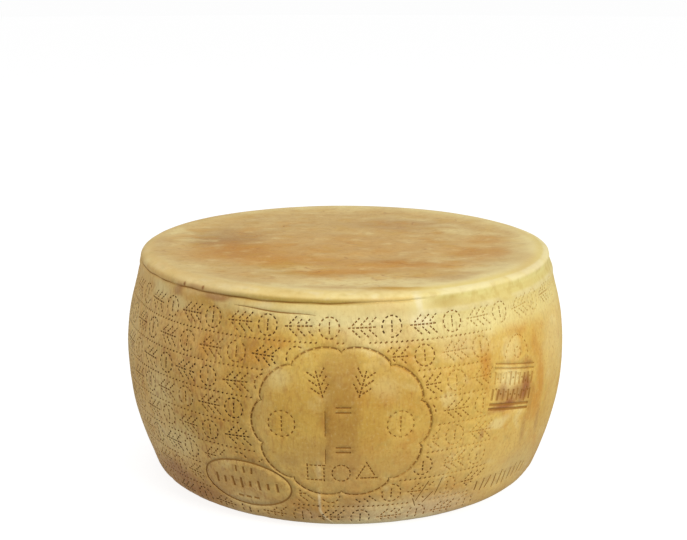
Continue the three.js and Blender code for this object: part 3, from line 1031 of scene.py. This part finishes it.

# the lip is cream, partly its own colour and partly painted light, brighter towards the front and the
# right; at the front its lower part carries a painted olive shade
painted_lip_light = x.ramp(-200, 60) * 0.64 + 0.3
# painted shade on the lip's lower part at the front, where it turns down towards the crease
painted_shade_under_lip = between(z, 206.2, 209, 2) * between(degrees_round, -26, -4, 14)
side = side.over(OLIVE, painted_shade_under_lip)
side = side.over(CREAM, on_lip * (1 - at_right * 0.8) * painted_lip_light * (0.3 + 1.0 * blotch))
side = side.over(PALE, on_lip * (1 - at_right) * painted_lip_light * mottle.ramp(0.48, 0.62) * 0.5)
for colour, share, degrees, height, reach in EDGE_STAINS:
    side = side.over(colour, patch(on_side(degrees, height), reach) * share)

FACE_STAINS = (  # on the top face: across and along from its middle
    (ORANGE, 0.35, -10, -10, (150, 84, 40)),
    (CREAM, 0.62, 10, -150, (110, 20, 40)),
    (CREAM, 0.1, 160, -50, (40, 64, 40)),
    (CREAM, 0.6, 130, -92, (40, 26, 40)),
    (BROWN, 0.4, -118, 12, (44, 30, 40)),
    (OCHRE, 0.7, -56, -84, (40, 18, 40)),
    (OCHRE, 0.7, -34, -114, (54, 14, 40)),
    (ORANGE, 0.7, 0, -108, (60, 16, 40)),
    (OCHRE, 0.3, 60, -118, (50, 16, 40)),
    (BROWN, 0.5, -102, -28, (34, 36, 40)),
    (ORANGE, 0.62, 124, -34, (40, 38, 40)),
    (ORANGE, 0.5, -98, -6, (44, 30, 40)),
    (ORANGE, 0.5, 134, 20, (30, 26, 40)),
    (ORANGE, 0.6, -100, -42, (64, 40, 40)),
    (ORANGE, 0.6, -46, -66, (60, 28, 40)),
    (ORANGE, 0.65, 50, -82, (84, 24, 40)),
    (BROWN, 0.4, -118, 36, (54, 40, 40)),
    (BROWN, 0.25, 52, -70, (44, 16, 40)),
    (CLAY, 0.2, 140, -66, (50, 56, 40)),
    (CLAY, 0.3, 104, -136, (40, 26, 40)),
    (CLAY, 0.4, 60, 96, (70, 36, 40)),
    (CLAY, 0.35, -182, -20, (20, 70, 40)),
)

# the top face is tan, brushed while it dried, with fine wrinkles and a cream rim
top = flow.node("RGB")
top.socket.default_value = TAN
top = top.over(CREAM, cloud.ramp(0.52, 0.3) * 0.45)
brushed = place.grain(12, 4, (0.62, 1, 1))
combed = place.grain(4, 4, (0.55, 1, 1))
for colour, share, across, along, reach in FACE_STAINS:
    top = top.over(colour, patch(on_face(across, along), reach) * share * (0.5 + brushed))
top = top.over(OCHRE, brushed.ramp(0.5, 0.7) * 0.4)
top = top.over(CREAM, brushed.ramp(0.44, 0.26) * 0.3)
top = top.over(ORANGE, mottle.ramp(0.52, 0.74) * 0.35)
top = top.over(CLAY, combed.ramp(0.5, 0.7) * 0.3)
wrinkle = flow.maths("ABSOLUTE", place.grain(44, 2, (0.5, 1, 1)) - 0.5)
wrinkle = wrinkle.ramp(0.008, 0.002) * mottle.ramp(0.5, 0.62)
top = top.over(RUST, wrinkle * 0.4)
# the cream rim is partly the rind's own colour and partly painted light, brighter towards the front and
# the right
rim = (from_axis + (mottle - 0.5) * 60 + at_right * 8).ramp(150, 204)
top = top.over(CREAM, rim * 0.8 * painted_lip_light)
top = top.over(CREAM, from_axis.ramp(166, 186) * 0.5 * painted_lip_light)
top = top.over(OCHRE, patch(on_face(52, -174), (52, 8, 40)))
top = top.over(TAN, patch(on_face(168, -72), (22, 40, 40)) * 0.6)
top = top.over(TAN, patch(on_face(-60, -143), (44, 16, 40)) * 0.5)

coat = side.over(top, on_top)
# a painted highlight: a pale line along the lip's edge at the right, where the main lamp falls
lip_edge_highlight = at_right * between(from_axis, 190, 194, 3) * z.ramp(207, 211)
coat = coat.over(PALE, lip_edge_highlight * mottle.ramp(0.2, 0.6) * 0.5)

# fine dark specks and threads cover all but the lip, and the weave of the cloth shows at the left
plain_rim = (1 - on_lip) * (1 - right_band) * (z.ramp(204, 184) * 0.7 + 0.3)
coat = coat.over(INK, speck.ramp(0.53, 0.72) * blotch.ramp(0.3, 0.6) * 0.4 * plain_rim)
coat = coat.over(CREAM, speck.ramp(0.46, 0.28) * 0.14)
at_left = (x.ramp(-20, -130) * 0.7 + 0.3) * (1 - on_top) * plain_rim
threads = fibre.ramp(0.5, 0.72) * 0.16 * plain_rim * (1 - on_top)
coat = coat.over(RUST, threads + weave.ramp(0.5, 0.7) * 0.5 * at_left)

# the marks go from a brown wall to a dark bed, and the same attribute darkens the crease under the lip, a
# painted shade
pit_tone_and_crease_shade = flow.node("Attribute", {"attribute_name": "shade"}, output="Fac")
coat = coat.over(INK, pit_tone_and_crease_shade.ramp(0, 0.4) * 0.85).over(PIT, pit_tone_and_crease_shade.ramp(0.3, 1.1))

shader = tree.nodes["Principled BSDF"]
tree.links.new(coat.socket, shader.inputs["Base Color"])
roughness = 0.44 + 0.22 * mottle + 0.2 * pit_tone_and_crease_shade
tree.links.new(roughness.socket, shader.inputs["Roughness"])
relief = speck * 0.4 + fibre * 0.4 * (1 - on_top) + weave * 0.5 * at_left + blotch * 1.2
relief = relief + (brushed * 1.2 - wrinkle) * on_top
bump = flow.node("Bump", {}, {"Height": relief, "Strength": 0.5, "Distance": 0.0006})
tree.links.new(bump.socket, shader.inputs["Normal"])
shader.inputs["Specular IOR Level"].default_value = 0.32
rind.data.materials.append(rind_paint)

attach(rind, "root")
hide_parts("wheel")
